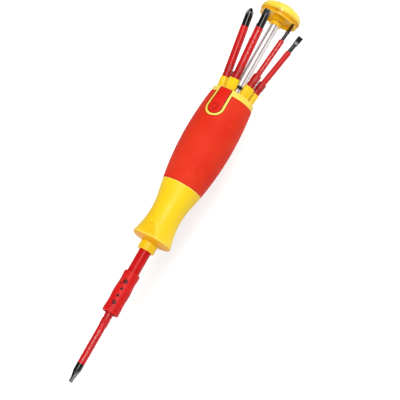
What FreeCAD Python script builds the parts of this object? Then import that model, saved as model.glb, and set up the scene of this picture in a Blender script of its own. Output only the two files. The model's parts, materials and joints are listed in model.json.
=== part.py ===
import FreeCAD, Part
import math
import os

# Insulated screwdriver with a pop-up bit magazine, in millimetres and degrees.
# X runs along the tool: the tip points to -X and the cap to +X. The release button faces +Z.
# The origin is on the axis, where the neck leaves the guard. The magazine is drawn popped up.

# Outline of the handle, as distances from the origin and radii
NECK_LENGTH = 6.6
NECK_RADIUS = 6.35
NECK_EDGE = 0.3
GUARD_RIM_X = 2.5
GUARD_RADIUS = 14.6
GUARD_EDGE = 1.2
GUARD_FLAT = 12.7            # from the axis to each of the two flats that stop rolling
WAIST_X = 22.5
WAIST_RADIUS = 11.6
GRIP_START_X = 45.2
BELLY_X = 84.3
BELLY_RADIUS = 18.7
COLLAR_LENGTH = 4.4
MOUTH_X = 121.2
MOUTH_RADIUS = 15.9
MOUTH_EDGE_LENGTH = 1.7
MOUTH_EDGE_DEPTH = 0.7
GUARD_BEND_SHARE = 0.08      # share of the guard's flare that is rounded outwards
WAIST_BEND_SHARE = 0.22      # share of the rise to the belly that is rounded inwards

# Soft grip
GRIP_START_DEPTH = 1.2
GRIP_BELLY_DEPTH = 2.6
GRIP_END_DEPTH = 0.9
GRIP_EDGE = 0.3

# Magazine: six holders hinged on a hub at the lower end of the lift tube
HOLDER_COUNT = 6
HOLDER_STEP = 360.0 / HOLDER_COUNT
EMPTY_HOLDER = 4             # numbered from the button, towards -Y
FAN_ANGLE = 9.2
RING_RADIUS = 7.4            # from the axis to the hinge pins, and to the bits when they stand parallel
PIVOT_DEPTH = 18.0           # hinge pins below the handle's mouth
HOLDER_ABOVE_MOUTH = 9.5
HOLDER_HALF_WIDTH = 4.2
HOLDER_FACE_HALF_WIDTH = 2.1
HOLDER_OUTER_WALL = 0.95
HOLDER_LIP_WALL = 0.35
HOLDER_INNER_WALL = 0.35
HOLDER_FLOOR = 1.1
HOLDER_GAP = 0.24            # between neighbours when the magazine is shut
SOCKET_DEPTH = 20.0
SOCKET_CHAMFER = 0.25
TONGUE_HALF_WIDTH = 1.2
TONGUE_RADIUS = 1.7
HINGE_PIN_RADIUS = 0.7
HINGE_PIN_HALF_LENGTH = 3.0
HINGE_PLAY = 0.05
TONGUE_PLAY = 0.1
HUB_DEPTH = 4.2
HUB_WALL = 0.5
HUB_SLOT_PLAY = 0.3

# Bits
BIT_LENGTH = 75.0
SHANK_RADIUS = 3.0
SHANK_PLAY = 0.05
DRIVE_HEX = 5.2              # across flats
DRIVE_HEX_LENGTH = 12.0
DRIVE_LENGTH = 30.0
DRIVE_GROOVE_AT = 23.4
DRIVE_GROOVE_WIDTH = 1.2
DRIVE_GROOVE_DEPTH = 0.35
DRIVE_FACET_START = 24.9
DRIVE_FACET_LENGTH = 4.4
DRIVE_FACET = 5.66           # across flats
STEEL_TIP_LENGTH = 14.6
INSULATION_STEP = 1.0

# Lift tube and what runs in it
TUBE_RADIUS = 3.4
TUBE_WALL = 0.7
TUBE_STUB = 1.2
TUBE_IN_CAP = 11.8
RING_WIDTH = 2.4
RING_HEIGHT = 0.3
RING_BELOW_HOLDER_TOP = 1.0
GUIDE_PIN_RADIUS = 1.6
GUIDE_PIN_SEAT = 6.0
GUIDE_HEAD_RADIUS = 2.4
GUIDE_HEAD_LENGTH = 1.5
GUIDE_PLAY = 0.06
BUSH_LENGTH = 1.5
STOP_GAP = 0.2
LIFT_SPRING_WIRE = 0.5
LIFT_SPRING_TURNS = 26
SPRING_PLUG_LENGTH = 8.0
SPRING_PLAY = 0.3

# Fan spring: a star of thin fingers on the hub
FAN_SPRING_THICKNESS = 0.25
FAN_FINGER_WIDTH = 1.6
FAN_FINGER_LENGTH = 4.2
FAN_FINGER_LEAN = 18.0

# Cap
CAP_RIM_X = 189.7
CAP_RADIUS = 15.4
CAP_HEIGHT = 9.6
CAP_BAND = 1.5
CAP_EDGE_RADIUS = 5.0
CAP_WALL = 1.6
CAP_SEAT_GAP = 0.1
SKIRT_BELOW_RIM = 2.9
SKIRT_PLAY = 0.3
SKIRT_WALL = 1.9
PLATE_THICKNESS = 1.4
BOSS_RADIUS = 5.05
BOSS_STEP_BELOW_RIM = 4.1
BOSS_COLLAR_RADIUS = 4.35
BOSS_BELOW_RIM = 7.7
SCREW_RADIUS = 1.5
SCREW_HEAD_RADIUS = 2.7
SCREW_HEAD_LENGTH = 1.6
SCREW_THREAD_LENGTH = 5.0
SCREW_WEB = 1.4

# Cavity of the handle
CAVITY_PLAY = 0.2
CAVITY_FLOOR_GAP = 1.4
THROAT_BELOW_MOUTH = 8.2
SWING_STEPS = 60

# Release button, its frame and its pocket
BUTTON_TOP_LIP = 0.5
BUTTON_END_X = 99.1
BUTTON_TOP_HALF_WIDTH = 4.7
BUTTON_END_HALF_WIDTH = 5.35
BUTTON_PLAY = 0.25
FRAME_WIDTH = 1.5
POCKET_FLOOR_Z = 14.85
POCKET_OPEN_X = 115.6
BUTTON_PIVOT_X = 111.5
BUTTON_PIVOT_Z = 15.6
BUTTON_PIN_RADIUS = 0.45
BUTTON_PIN_HALF_LENGTH = 6.0
BUTTON_THUMB_THICKNESS = 1.9
BUTTON_LUG_HALF_LENGTH = 0.9
BUTTON_LUG_WALL = 0.1
BUTTON_ARM_GAP = 0.25
DIMPLE_X = 104.8
DIMPLE_RADIUS = 3.0
DIMPLE_DEPTH = 0.5
DIMPLE_RING_RADIUS = 1.6
DIMPLE_RING_WIDTH = 0.4
DIMPLE_RING_DEPTH = 0.2
TOOTH_THICKNESS = 1.2
TOOTH_TOP_X = 120.2
TOOTH_TIP_Z = 13.4
TOOTH_INNER_Y = 3.4
TOOTH_WIDTH = 1.0
CATCH_PLAY = 0.2
CATCH_DEPTH = 0.95
BUTTON_SPRING_X = 103.4
BUTTON_SPRING_RADIUS = 1.4
BUTTON_SPRING_WIRE = 0.35
BUTTON_SPRING_TURNS = 3
BUTTON_SPRING_RECESS = 0.8

# Drive shaft, its insulation and the chuck
SHAFT_RADIUS = 3.0
SHAFT_IN_HANDLE = 20.0
WING_LENGTH = 7.0
WING_HALF_SPAN = 4.6
WING_THICKNESS = 2.4
WING_FROM_END = 1.0
INSULATION_RADIUS = 4.45
INSULATION_IN_NECK = 9.6
SLEEVE_REAR_X = -24.6
SLEEVE_LENGTH = 32.1
SLEEVE_REAR_RADIUS = 5.97
SLEEVE_WAIST_AT = 7.9        # distances from the sleeve's rear end
SLEEVE_WAIST_RADIUS = 5.72
SLEEVE_SWELL_AT = 15.2
SLEEVE_SWELL_RADIUS = 6.2
SLEEVE_SECOND_WAIST_AT = 22.8
SLEEVE_SECOND_WAIST_RADIUS = 5.88
SLEEVE_FRONT_AT = 30.2
SLEEVE_FRONT_RADIUS = 6.15
SLEEVE_EDGE = 0.5
THUMB_FLAT_AT = 7.4          # middle of the sleeve's round thumb flat, from its rear end
THUMB_FLAT_TURN = 32.0       # from the button's side, towards +Y
THUMB_FLAT_RADIUS = 3.3
THUMB_FLAT_DEPTH = 0.4
SLEEVE_PLAY = 0.1
SLEEVE_TRAVEL = 3.0
SLEEVE_OVERLAP = 1.4         # of the sleeve over the end of the shaft's insulation
SLEEVE_FLANGE_AT = 7.2
SLEEVE_FLANGE = 2.0
SLEEVE_STOP_GAP = 0.1
SEAT_RING_THICKNESS = 0.5
SLEEVE_SPRING_WIRE = 0.4
SLEEVE_SPRING_TURNS = 4
HEAD_SHORT_OF_SLEEVE = 3.7
BIT_SEAT_X = -36.5
BIT_SEAT_GAP = 0.2
BALL_RADIUS = 0.75
BALL_PLAY = 0.05
BALL_AT = 10.5               # from the seated bit's end
BALL_LIFT = 0.1
RELEASE_GROOVE_DEPTH = 0.4
WORKING_BIT_TURN = 8.0

# Sizes that follow from those above
COLLAR_X = MOUTH_X - COLLAR_LENGTH
PIVOT_X = MOUTH_X - PIVOT_DEPTH
LIFT_TRAVEL = CAP_RIM_X - MOUTH_X - CAP_SEAT_GAP
HOLDER_TOP = PIVOT_DEPTH + HOLDER_ABOVE_MOUTH
SOCKET_FLOOR = HOLDER_TOP - SOCKET_DEPTH
HOLDER_BOTTOM = SOCKET_FLOOR - HOLDER_FLOOR
SOCKET_RADIUS = SHANK_RADIUS + SHANK_PLAY
HOLDER_OUTER = SOCKET_RADIUS + HOLDER_OUTER_WALL
HOLDER_LIP = SOCKET_RADIUS + HOLDER_LIP_WALL
HOLDER_INNER = SOCKET_RADIUS + HOLDER_INNER_WALL
TUBE_BORE = TUBE_RADIUS - TUBE_WALL
TUBE_START_X = PIVOT_X - HUB_DEPTH - TUBE_STUB
TUBE_END_X = CAP_RIM_X - BOSS_BELOW_RIM + TUBE_IN_CAP
HUB_RADIUS = RING_RADIUS + TONGUE_RADIUS + HUB_WALL
CAVITY_FLOOR_X = TUBE_START_X - LIFT_TRAVEL - CAVITY_FLOOR_GAP
HEAD_RADIUS = INSULATION_RADIUS
SLEEVE_BORE = HEAD_RADIUS + SLEEVE_PLAY
SLEEVE_FRONT_X = SLEEVE_REAR_X - SLEEVE_LENGTH
INSULATION_END_X = SLEEVE_REAR_X - SLEEVE_OVERLAP
FLANGE_X = SLEEVE_REAR_X - SLEEVE_FLANGE_AT
HEAD_REAR_X = FLANGE_X - SLEEVE_FLANGE - SLEEVE_STOP_GAP
HEAD_FRONT_X = SLEEVE_FRONT_X + HEAD_SHORT_OF_SLEEVE
BALL_X = BIT_SEAT_X - BALL_AT

ORIGIN = FreeCAD.Vector(0, 0, 0)
X_AXIS = FreeCAD.Vector(1, 0, 0)
Y_AXIS = FreeCAD.Vector(0, 1, 0)
Z_AXIS = FreeCAD.Vector(0, 0, 1)
FAR = 60.0                   # longer than any piece that a cutting block has to clear


# Basic shapes

def at(x, y=0.0, z=0.0):
    return FreeCAD.Vector(x, y, z)


def rod(x0, x1, radius):
    return Part.makeCylinder(radius, x1 - x0, at(x0), X_AXIS)


def ring(x0, x1, inner, outer):
    return rod(x0, x1, outer).cut(rod(x0, x1, inner))


def block(x0, x1, y0, y1, z0, z1):
    return Part.makeBox(x1 - x0, y1 - y0, z1 - z0, at(x0, y0, z0))


def line(start, end):
    return Part.LineSegment(at(start[0], 0, start[1]), at(end[0], 0, end[1])).toShape()


def lines(points):
    return [line(a, b) for a, b in zip(points, points[1:])]


def spin(edges):
    return Part.Face(Part.Wire(edges)).revolve(ORIGIN, X_AXIS, 360)


def spinPoints(points):
    return spin(lines(points + points[:1]))


def prism(points, x0, x1):
    # points are (y, z) round a section that is square to the tool
    face = Part.Face(Part.makePolygon([at(x0, y, z) for y, z in points + points[:1]]))
    return face.extrude(at(x1 - x0))


def hexagon(x0, x1, acrossFlats, turn=0.0):
    corner = acrossFlats / math.sqrt(3)
    angles = [math.radians(60 * i + turn) for i in range(6)]
    return prism([(corner * math.sin(a), corner * math.cos(a)) for a in angles], x0, x1)


def coil(start, length, radius, wire, turns, direction):
    # The wire's ends stay inside the length, so that the coil touches its seats and no more
    helix = Part.makeHelix((length - wire) / turns, length - wire, radius)
    section = Part.Wire(Part.makeCircle(wire / 2, at(radius), Y_AXIS))
    spring = Part.Wire(helix).makePipeShell([section], True, True)
    spring.translate(at(0, 0, wire / 2))
    spring.Placement = FreeCAD.Placement(start, FreeCAD.Rotation(Z_AXIS, direction)).multiply(spring.Placement)
    return spring


# Round outlines: stretches of arc, each (from x, to x, centre x, centre radius, radius, side)

def levelArc(levelX, levelRadius, x, radius):
    # One arc that runs level at levelX and bends inwards to the other end
    drop = levelRadius - radius
    bend = ((x - levelX) ** 2 + drop ** 2) / (2 * drop)
    return [(min(levelX, x), max(levelX, x), levelX, levelRadius - bend, bend, 1)]


def levelPair(x0, radius0, x1, radius1, share):
    # Two arcs that meet smoothly and run level at both ends
    rise = radius1 - radius0
    side = 1 if rise > 0 else -1
    total = ((x1 - x0) ** 2 + rise ** 2) / (2 * abs(rise))
    first, second = total * share, total * (1 - share)
    joinX = x0 + (x1 - x0) * share
    return [
        (x0, joinX, x0, radius0 + side * first, first, -side),
        (joinX, x1, x1, radius1 - side * second, second, side),
    ]


def radiusAt(outline, x):
    for x0, x1, centreX, centreRadius, bend, side in outline:
        if x0 - 1e-9 <= x <= x1 + 1e-9:
            return centreRadius + side * math.sqrt(bend ** 2 - (x - centreX) ** 2)
    raise ValueError("the outline has no radius at %g" % x)


def outlineEdges(outline, fromX, toX):
    edges = []
    for stretch in outline:
        x0, x1 = max(stretch[0], fromX), min(stretch[1], toX)
        if x1 - x0 > 1e-6:
            three = [at(x, 0, radiusAt([stretch], x)) for x in (x0, (x0 + x1) / 2, x1)]
            edges.append(Part.Arc(*three).toShape())
    return edges


HANDLE = (
    levelPair(GUARD_RIM_X, GUARD_RADIUS, WAIST_X, WAIST_RADIUS, GUARD_BEND_SHARE)
    + levelPair(WAIST_X, WAIST_RADIUS, BELLY_X, BELLY_RADIUS, WAIST_BEND_SHARE)
    + levelArc(BELLY_X, BELLY_RADIUS, MOUTH_X, MOUTH_RADIUS)
)


def handleRadius(x):
    return radiusAt(HANDLE, x)


# Where the tilting bits and holders reach while the magazine goes down

def reachAt(x):
    reach = 0.0
    for step in range(SWING_STEPS + 1):
        lowered = LIFT_TRAVEL * step / SWING_STEPS
        tilt = math.radians(FAN_ANGLE * (1 - step / SWING_STEPS))
        along = x - PIVOT_X + lowered
        centre = RING_RADIUS + along * math.tan(tilt)
        reach = max(reach, centre + SHANK_RADIUS / math.cos(tilt))
        if along <= HOLDER_TOP:
            taper = min(1, (HOLDER_TOP - along) / HOLDER_ABOVE_MOUTH)
            face = HOLDER_LIP + (HOLDER_OUTER - HOLDER_LIP) * taper
            reach = max(reach, math.hypot(centre + face / math.cos(tilt), HOLDER_FACE_HALF_WIDTH))
    return reach


THROAT_X = MOUTH_X - THROAT_BELOW_MOUTH
THROAT_RADIUS = reachAt(THROAT_X) + CAVITY_PLAY
MOUTH_BORE = reachAt(MOUTH_X) + CAVITY_PLAY
SHOULDER_X = PIVOT_X - LIFT_TRAVEL + HOLDER_BOTTOM - CAVITY_PLAY * 3
SHOULDER_RADIUS = math.hypot(RING_RADIUS + HOLDER_OUTER, HOLDER_FACE_HALF_WIDTH) + CAVITY_PLAY
SKIRT_RADIUS = MOUTH_BORE - SKIRT_PLAY - CAVITY_PLAY


def cavity():
    return spinPoints([
        (CAVITY_FLOOR_X, 0),
        (CAVITY_FLOOR_X, HUB_RADIUS + CAVITY_PLAY * 2),
        (SHOULDER_X, SHOULDER_RADIUS),
        (THROAT_X, THROAT_RADIUS),
        (MOUTH_X, MOUTH_BORE),
        (MOUTH_X + 1, MOUTH_BORE),
        (MOUTH_X + 1, 0),
    ])


# Button outline, grown by a margin, as an upright prism above the axis

def buttonPrism(margin, topX):
    top, end = BUTTON_TOP_HALF_WIDTH + margin, BUTTON_END_HALF_WIDTH + margin
    roundX = BUTTON_END_X + BUTTON_END_HALF_WIDTH
    corners = [at(topX, -top), at(roundX, -end), at(BUTTON_END_X - margin), at(roundX, end), at(topX, top)]
    edges = [
        Part.LineSegment(corners[0], corners[1]).toShape(),
        Part.Arc(corners[1], corners[2], corners[3]).toShape(),
        Part.LineSegment(corners[3], corners[4]).toShape(),
        Part.LineSegment(corners[4], corners[0]).toShape(),
    ]
    return Part.Face(Part.Wire(edges)).extrude(at(0, 0, FAR))


def buttonPocket():
    topX = MOUTH_X - BUTTON_TOP_LIP
    shaft = buttonPrism(BUTTON_PLAY, topX)
    floor = block(BUTTON_END_X - FAR, POCKET_OPEN_X, -FAR, FAR, -1, POCKET_FLOOR_Z)
    return shaft.cut(floor)


# Handle

def underGripRadius(x, depth):
    return handleRadius(x) - depth


def gripSeam():
    # The arc where the grip lies on the core, from the yellow nose to the collar
    depths = ((GRIP_START_X, GRIP_START_DEPTH), (BELLY_X, GRIP_BELLY_DEPTH), (COLLAR_X, GRIP_END_DEPTH))
    return [at(x, 0, underGripRadius(x, depth)) for x, depth in depths]


def handleCore():
    seam = gripSeam()
    rimX, rimRadius = GUARD_RIM_X - GUARD_EDGE, GUARD_RADIUS - GUARD_EDGE
    bevel = GUARD_EDGE * (1 - math.sqrt(0.5))
    rimArc = Part.Arc(
        at(rimX, 0, rimRadius),
        at(rimX + bevel, 0, GUARD_RADIUS - bevel),
        at(GUARD_RIM_X, 0, GUARD_RADIUS),
    ).toShape()
    edges = lines([
        (-NECK_LENGTH, 0),
        (-NECK_LENGTH, NECK_RADIUS - NECK_EDGE),
        (-NECK_LENGTH + NECK_EDGE, NECK_RADIUS),
        (0, NECK_RADIUS),
        (rimX, rimRadius),
    ])
    edges.append(rimArc)
    edges += outlineEdges(HANDLE, GUARD_RIM_X, GRIP_START_X)
    edges.append(line((GRIP_START_X, handleRadius(GRIP_START_X)), (GRIP_START_X, seam[0].z)))
    edges.append(Part.Arc(*seam).toShape())
    edges += lines([(COLLAR_X, seam[2].z), (COLLAR_X, 0), (-NECK_LENGTH, 0)])
    core = spin(edges)
    core = core.fuse(buttonFrame()).removeSplitter()
    for z in (GUARD_FLAT, -GUARD_FLAT - FAR):
        core = core.cut(block(-1, WAIST_X, -FAR, FAR, z, z + FAR))
    core = core.cut(cavity()).cut(buttonPocket()).cut(buttonPin())
    core = core.cut(rod(-NECK_LENGTH, INSULATION_IN_NECK - NECK_LENGTH, INSULATION_RADIUS))
    core = core.cut(shaftTail())
    return core.cut(rod(CAVITY_FLOOR_X - GUIDE_PIN_SEAT, CAVITY_FLOOR_X, GUIDE_PIN_RADIUS))


def outerSolid(fromX, toX):
    edges = outlineEdges(HANDLE, fromX, toX)
    edges += lines([(toX, handleRadius(toX)), (toX, 0), (fromX, 0), (fromX, handleRadius(fromX))])
    return spin(edges)


def buttonFrame():
    frame = buttonPrism(BUTTON_PLAY + FRAME_WIDTH, COLLAR_X)
    return frame.common(outerSolid(GRIP_START_X, COLLAR_X))


def softGrip():
    seam = gripSeam()
    edges = outlineEdges(HANDLE, GRIP_START_X + GRIP_EDGE, COLLAR_X - GRIP_EDGE)
    edges += lines([
        (COLLAR_X - GRIP_EDGE, handleRadius(COLLAR_X - GRIP_EDGE)),
        (COLLAR_X, handleRadius(COLLAR_X) - GRIP_EDGE),
        (COLLAR_X, seam[2].z),
    ])
    edges.append(Part.Arc(*reversed(seam)).toShape())
    edges += lines([
        (GRIP_START_X, seam[0].z),
        (GRIP_START_X, handleRadius(GRIP_START_X) - GRIP_EDGE),
        (GRIP_START_X + GRIP_EDGE, handleRadius(GRIP_START_X + GRIP_EDGE)),
    ])
    return spin(edges).cut(buttonPrism(BUTTON_PLAY + FRAME_WIDTH, MOUTH_X))


def mouthSolid(fromX):
    # The outside of the handle up to its mouth, whose edge is rounded
    edgeX = MOUTH_X - MOUTH_EDGE_LENGTH
    edge, lip = handleRadius(edgeX), handleRadius(MOUTH_X) - MOUTH_EDGE_DEPTH
    diagonal = math.sqrt(0.5)
    middle = at(edgeX + MOUTH_EDGE_LENGTH * diagonal, 0, edge - (edge - lip) * (1 - diagonal))
    edges = outlineEdges(HANDLE, fromX, edgeX)
    edges.append(Part.Arc(at(edgeX, 0, edge), middle, at(MOUTH_X, 0, lip)).toShape())
    edges += lines([(MOUTH_X, lip), (MOUTH_X, 0), (fromX, 0), (fromX, handleRadius(fromX))])
    return spin(edges)


def endCollar():
    return mouthSolid(COLLAR_X).cut(cavity()).cut(buttonPocket())


# Release button: a rocker on a cross pin, with two teeth that catch the cap's skirt

def buttonPin():
    pin = Part.makeCylinder(
        BUTTON_PIN_RADIUS, 2 * BUTTON_PIN_HALF_LENGTH,
        at(BUTTON_PIVOT_X, -BUTTON_PIN_HALF_LENGTH, BUTTON_PIVOT_Z), Y_AXIS,
    )
    return pin


def releaseButton():
    topX = MOUTH_X - BUTTON_TOP_LIP - BUTTON_PLAY
    thumbZ = handleRadius(BUTTON_END_X) - BUTTON_THUMB_THICKNESS
    lugX0, lugX1 = BUTTON_PIVOT_X - BUTTON_LUG_HALF_LENGTH, BUTTON_PIVOT_X + BUTTON_LUG_HALF_LENGTH
    lugZ = BUTTON_PIVOT_Z - BUTTON_PIN_RADIUS - BUTTON_LUG_WALL
    button = buttonPrism(0, topX).common(mouthSolid(BUTTON_END_X - 1))
    button = button.cut(block(BUTTON_END_X - 1, lugX0, -FAR, FAR, -1, thumbZ))
    button = button.cut(block(lugX0, lugX1, -FAR, FAR, -1, lugZ))
    button = button.cut(block(lugX1, POCKET_OPEN_X + BUTTON_PLAY, -FAR, FAR, -1, POCKET_FLOOR_Z + BUTTON_ARM_GAP))
    button = button.cut(rod(POCKET_OPEN_X, MOUTH_X, MOUTH_BORE + CAVITY_PLAY / 2))
    for y in (TOOTH_INNER_Y, -TOOTH_INNER_Y - TOOTH_WIDTH):
        tooth = block(TOOTH_TOP_X - TOOTH_THICKNESS, TOOTH_TOP_X, y, y + TOOTH_WIDTH, TOOTH_TIP_Z, MOUTH_BORE)
        button = button.fuse(tooth)
    hole = Part.makeCylinder(
        BUTTON_PIN_RADIUS + HINGE_PLAY, FAR, at(BUTTON_PIVOT_X, -FAR / 2, BUTTON_PIVOT_Z), Y_AXIS
    )
    recess = Part.makeCylinder(
        BUTTON_SPRING_RADIUS + BUTTON_SPRING_WIRE, BUTTON_SPRING_RECESS, at(BUTTON_SPRING_X, 0, thumbZ), Z_AXIS
    )
    ball = (DIMPLE_RADIUS ** 2 + DIMPLE_DEPTH ** 2) / (2 * DIMPLE_DEPTH)
    dimpleZ = handleRadius(DIMPLE_X) - DIMPLE_DEPTH
    dimple = Part.makeSphere(ball, at(DIMPLE_X, 0, dimpleZ + ball))
    grooveStart = at(DIMPLE_X, 0, dimpleZ - DIMPLE_RING_DEPTH)
    groove = Part.makeCylinder(DIMPLE_RING_RADIUS + DIMPLE_RING_WIDTH, FAR, grooveStart, Z_AXIS)
    groove = groove.cut(Part.makeCylinder(DIMPLE_RING_RADIUS, FAR, grooveStart, Z_AXIS))
    return button.cut(hole).cut(recess).cut(dimple).cut(groove).removeSplitter()


def buttonSpring():
    top = handleRadius(BUTTON_END_X) - BUTTON_THUMB_THICKNESS + BUTTON_SPRING_RECESS
    length = top - POCKET_FLOOR_Z
    return coil(
        at(BUTTON_SPRING_X, 0, POCKET_FLOOR_Z), length,
        BUTTON_SPRING_RADIUS, BUTTON_SPRING_WIRE, BUTTON_SPRING_TURNS, Z_AXIS,
    )


# Drive shaft and chuck

def shaftTail():
    # What the handle's nose is moulded round: the steel shaft and its two wings
    tail = rod(HEAD_REAR_X, SHAFT_IN_HANDLE, SHAFT_RADIUS)
    wingX = SHAFT_IN_HANDLE - WING_FROM_END
    wings = block(
        wingX - WING_LENGTH, wingX, -WING_THICKNESS / 2, WING_THICKNESS / 2, -WING_HALF_SPAN, WING_HALF_SPAN
    )
    return tail.fuse(wings)


def ballHoles():
    reach = HEAD_RADIUS + 1
    holes = []
    for turn in (WORKING_BIT_TURN + 30, WORKING_BIT_TURN + 210):
        hole = Part.makeCylinder(BALL_RADIUS + BALL_PLAY, reach, at(BALL_X), Z_AXIS)
        hole.rotate(ORIGIN, X_AXIS, turn)
        holes.append(hole)
    return holes


def retainingBalls():
    height = DRIVE_HEX / 2 + BALL_RADIUS + BALL_LIFT
    balls = []
    for turn in (WORKING_BIT_TURN + 30, WORKING_BIT_TURN + 210):
        ball = Part.makeSphere(BALL_RADIUS, at(BALL_X, 0, height))
        ball.rotate(ORIGIN, X_AXIS, turn)
        balls.append(ball)
    return Part.makeCompound(balls)


def driveShaft():
    head = rod(HEAD_FRONT_X, HEAD_REAR_X, HEAD_RADIUS)
    hexFrontX = BIT_SEAT_X - DRIVE_HEX_LENGTH
    shaft = shaftTail().fuse(head)
    shaft = shaft.cut(rod(HEAD_FRONT_X, hexFrontX, SOCKET_RADIUS))
    socket = hexagon(hexFrontX, BIT_SEAT_X + BIT_SEAT_GAP, DRIVE_HEX + 2 * SHANK_PLAY)
    socket.rotate(ORIGIN, X_AXIS, WORKING_BIT_TURN)
    shaft = shaft.cut(socket)
    for hole in ballHoles():
        shaft = shaft.cut(hole)
    return shaft.removeSplitter()


def shaftInsulation():
    return ring(INSULATION_END_X, INSULATION_IN_NECK - NECK_LENGTH, SHAFT_RADIUS, INSULATION_RADIUS)


def sleeveSeatRing():
    return ring(INSULATION_END_X - SEAT_RING_THICKNESS, INSULATION_END_X, SHAFT_RADIUS, HEAD_RADIUS - SLEEVE_PLAY)


def sleeveSpring():
    start = INSULATION_END_X - SEAT_RING_THICKNESS
    middle = (SHAFT_RADIUS + SLEEVE_BORE) / 2
    return coil(at(start), start - FLANGE_X, middle, SLEEVE_SPRING_WIRE, SLEEVE_SPRING_TURNS, -X_AXIS)


def lockSleeve():
    def station(distance):
        return SLEEVE_REAR_X - distance

    frontX = SLEEVE_FRONT_X
    outline = (
        levelPair(station(SLEEVE_FRONT_AT), SLEEVE_FRONT_RADIUS,
                  station(SLEEVE_SECOND_WAIST_AT), SLEEVE_SECOND_WAIST_RADIUS, 0.5)
        + levelPair(station(SLEEVE_SECOND_WAIST_AT), SLEEVE_SECOND_WAIST_RADIUS,
                    station(SLEEVE_SWELL_AT), SLEEVE_SWELL_RADIUS, 0.5)
        + levelPair(station(SLEEVE_SWELL_AT), SLEEVE_SWELL_RADIUS,
                    station(SLEEVE_WAIST_AT), SLEEVE_WAIST_RADIUS, 0.5)
        + levelPair(station(SLEEVE_WAIST_AT), SLEEVE_WAIST_RADIUS,
                    station(SLEEVE_EDGE), SLEEVE_REAR_RADIUS, 0.5)
    )
    edges = outlineEdges(outline, station(SLEEVE_FRONT_AT), station(SLEEVE_EDGE))
    edges += lines([
        (station(SLEEVE_EDGE), SLEEVE_REAR_RADIUS),
        (SLEEVE_REAR_X, SLEEVE_REAR_RADIUS - SLEEVE_EDGE),
        (SLEEVE_REAR_X, SLEEVE_BORE),
        (FLANGE_X, SLEEVE_BORE),
        (FLANGE_X, SHAFT_RADIUS + SLEEVE_PLAY),
        (FLANGE_X - SLEEVE_FLANGE, SHAFT_RADIUS + SLEEVE_PLAY),
        (FLANGE_X - SLEEVE_FLANGE, SLEEVE_BORE),
        (frontX, SLEEVE_BORE),
        (frontX, SLEEVE_FRONT_RADIUS - SLEEVE_EDGE / 2),
        (frontX + SLEEVE_EDGE / 2, SLEEVE_FRONT_RADIUS),
        (station(SLEEVE_FRONT_AT), SLEEVE_FRONT_RADIUS),
    ])
    grooveX = BALL_X - SLEEVE_TRAVEL
    groove = rod(grooveX - BALL_RADIUS, grooveX + BALL_RADIUS, SLEEVE_BORE + RELEASE_GROOVE_DEPTH)
    flatStart = at(station(THUMB_FLAT_AT), 0, SLEEVE_WAIST_RADIUS - THUMB_FLAT_DEPTH)
    thumbFlat = Part.makeCylinder(THUMB_FLAT_RADIUS, FAR, flatStart, Z_AXIS)
    thumbFlat.rotate(ORIGIN, X_AXIS, -THUMB_FLAT_TURN)
    return spin(edges).cut(groove).cut(thumbFlat)


# Magazine: hub, tube and cap. Pieces at a holder are made at the button's side and turned into place.

def holderTurn(number):
    return HOLDER_STEP * (number - 1)


def turned(shape, number):
    copy = shape.copy()
    copy.rotate(ORIGIN, X_AXIS, holderTurn(number))
    return copy


def fanned(shape):
    copy = shape.copy()
    copy.rotate(at(PIVOT_X, 0, RING_RADIUS), Y_AXIS, -FAN_ANGLE)
    return copy


def holderNumbers():
    return range(1, HOLDER_COUNT + 1)


def hingePin(play=0.0):
    return Part.makeCylinder(
        HINGE_PIN_RADIUS + play, 2 * HINGE_PIN_HALF_LENGTH,
        at(PIVOT_X, -HINGE_PIN_HALF_LENGTH, RING_RADIUS), Y_AXIS,
    )


def hingePins():
    return Part.makeCompound([turned(hingePin(), number) for number in holderNumbers()])


def hubStack():
    hub = ring(PIVOT_X - HUB_DEPTH, PIVOT_X + TONGUE_RADIUS, TUBE_RADIUS, HUB_RADIUS)
    half = TONGUE_HALF_WIDTH + TONGUE_PLAY
    slot = block(
        PIVOT_X - TONGUE_RADIUS - HUB_SLOT_PLAY, PIVOT_X + FAR, -half, half,
        RING_RADIUS - TONGUE_RADIUS - HUB_SLOT_PLAY, FAR,
    )
    for number in holderNumbers():
        hub = hub.cut(turned(slot, number)).cut(turned(hingePin(), number))
    return hub


def magazineHub():
    return hubStack().common(block(PIVOT_X - FAR, PIVOT_X, -FAR, FAR, -FAR, FAR))


def hubClampPlate():
    return hubStack().common(block(PIVOT_X, PIVOT_X + FAR, -FAR, FAR, -FAR, FAR))


def fanSpring():
    baseX = PIVOT_X + TONGUE_RADIUS
    washer = RING_RADIUS - TONGUE_RADIUS - HUB_SLOT_PLAY
    spring = ring(baseX, baseX + FAN_SPRING_THICKNESS, TUBE_RADIUS, washer)
    half = FAN_FINGER_WIDTH / 2
    rootZ = washer - 2 * FAN_SPRING_THICKNESS
    startX = baseX + FAN_SPRING_THICKNESS / 2
    finger = block(startX, startX + FAN_FINGER_LENGTH, -half, half, rootZ, rootZ + FAN_SPRING_THICKNESS)
    finger.rotate(at(startX, 0, rootZ), Y_AXIS, -FAN_FINGER_LEAN)
    for number in holderNumbers():
        spring = spring.fuse(turned(finger, number))
    return spring


def liftTube():
    return ring(TUBE_START_X, TUBE_END_X, TUBE_BORE, TUBE_RADIUS)


def guidePin():
    headX = TUBE_START_X + BUSH_LENGTH + STOP_GAP
    pin = rod(CAVITY_FLOOR_X - GUIDE_PIN_SEAT, headX, GUIDE_PIN_RADIUS)
    return pin.fuse(rod(headX, headX + GUIDE_HEAD_LENGTH, GUIDE_HEAD_RADIUS))


def tubeBush():
    return ring(TUBE_START_X, TUBE_START_X + BUSH_LENGTH, GUIDE_PIN_RADIUS + GUIDE_PLAY, TUBE_BORE)


def springPlug():
    return rod(TUBE_END_X - SPRING_PLUG_LENGTH, TUBE_END_X, TUBE_BORE).cut(capScrewShank())


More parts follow.
